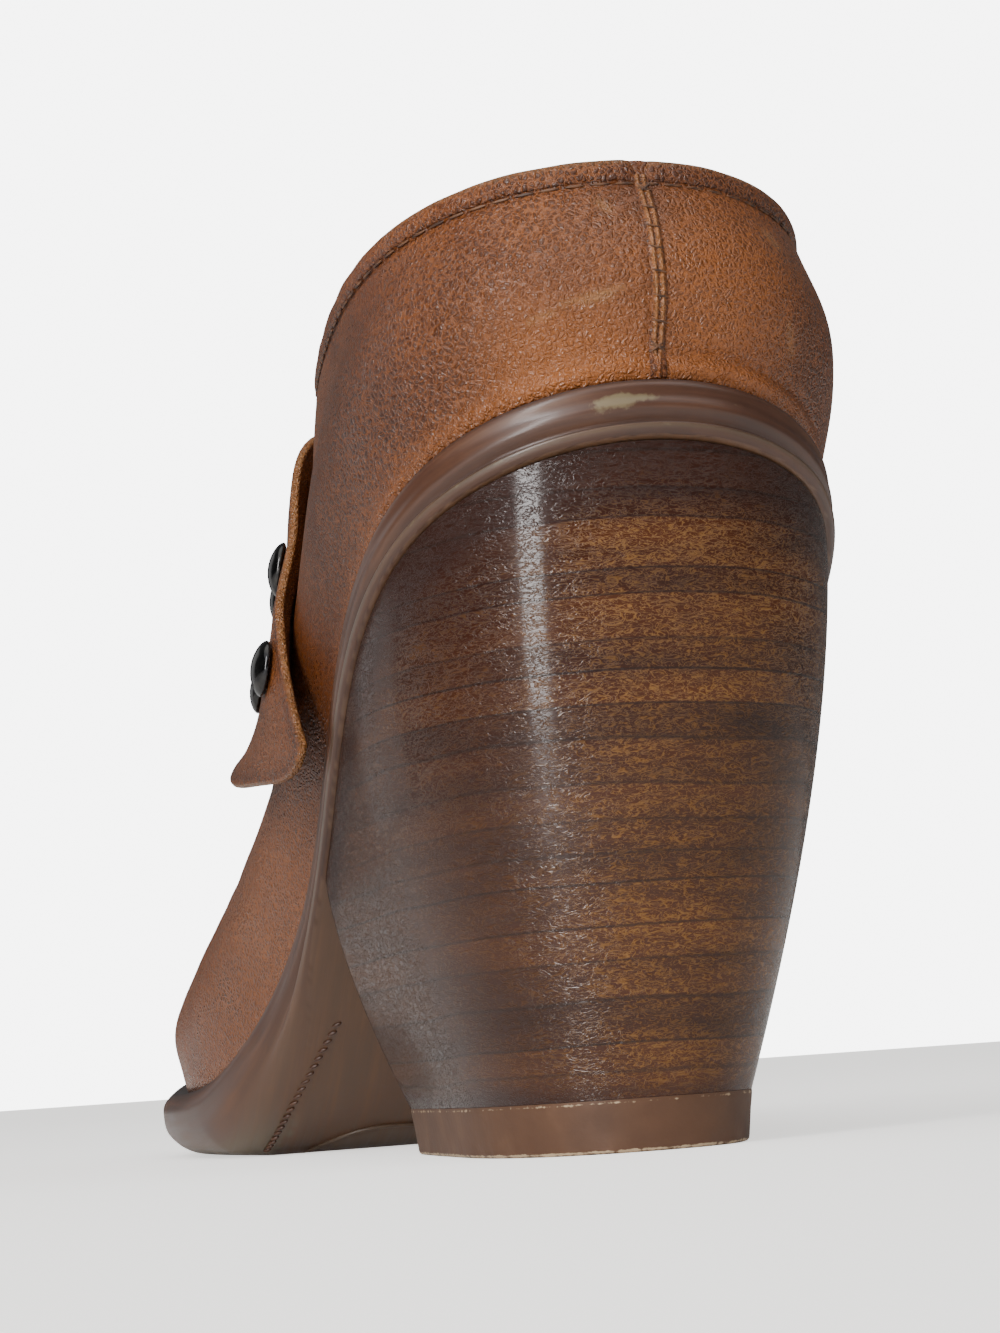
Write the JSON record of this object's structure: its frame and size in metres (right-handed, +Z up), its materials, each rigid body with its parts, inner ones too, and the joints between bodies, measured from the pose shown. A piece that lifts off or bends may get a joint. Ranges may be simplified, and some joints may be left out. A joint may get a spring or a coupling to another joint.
{
  "type": "heeled mule shoe",
  "caption": "Left slip-on heeled mule with a low closed back, stacked block heel, moulded sole, and a studded strap with flared ends over the instep.",
  "frame": {"origin": "on the floor, under the middle of the shoe's bounding box", "axes": "-Y towards the toe, +X towards the outer side of the left foot, +Z up"},
  "size_m": [0.0994, 0.2352, 0.119],
  "materials": {
    "sole_unit": "painted, worn",
    "heel_stack": "lacquered stacked leather",
    "lift_rubber": "matte",
    "insole_leather": "matte",
    "upper_leather": "grained, satin",
    "strap_leather": "grained, satin",
    "stud_metal": "dark polished"
  },
  "bodies": {
    "root": {"outsole": "sole_unit", "heel": "heel_stack", "top_lift": "lift_rubber", "insole": "insole_leather", "upper": "upper_leather", "instep_strap": "strap_leather", "stud_outer_low_rear": "stud_metal", "stud_outer_low_front": "stud_metal", "stud_outer_high_rear": "stud_metal", "stud_outer_high_front": "stud_metal", "stud_inner_low_rear": "stud_metal", "stud_inner_low_front": "stud_metal", "stud_inner_high_rear": "stud_metal", "stud_inner_high_front": "stud_metal"}
  },
  "joints": []
}
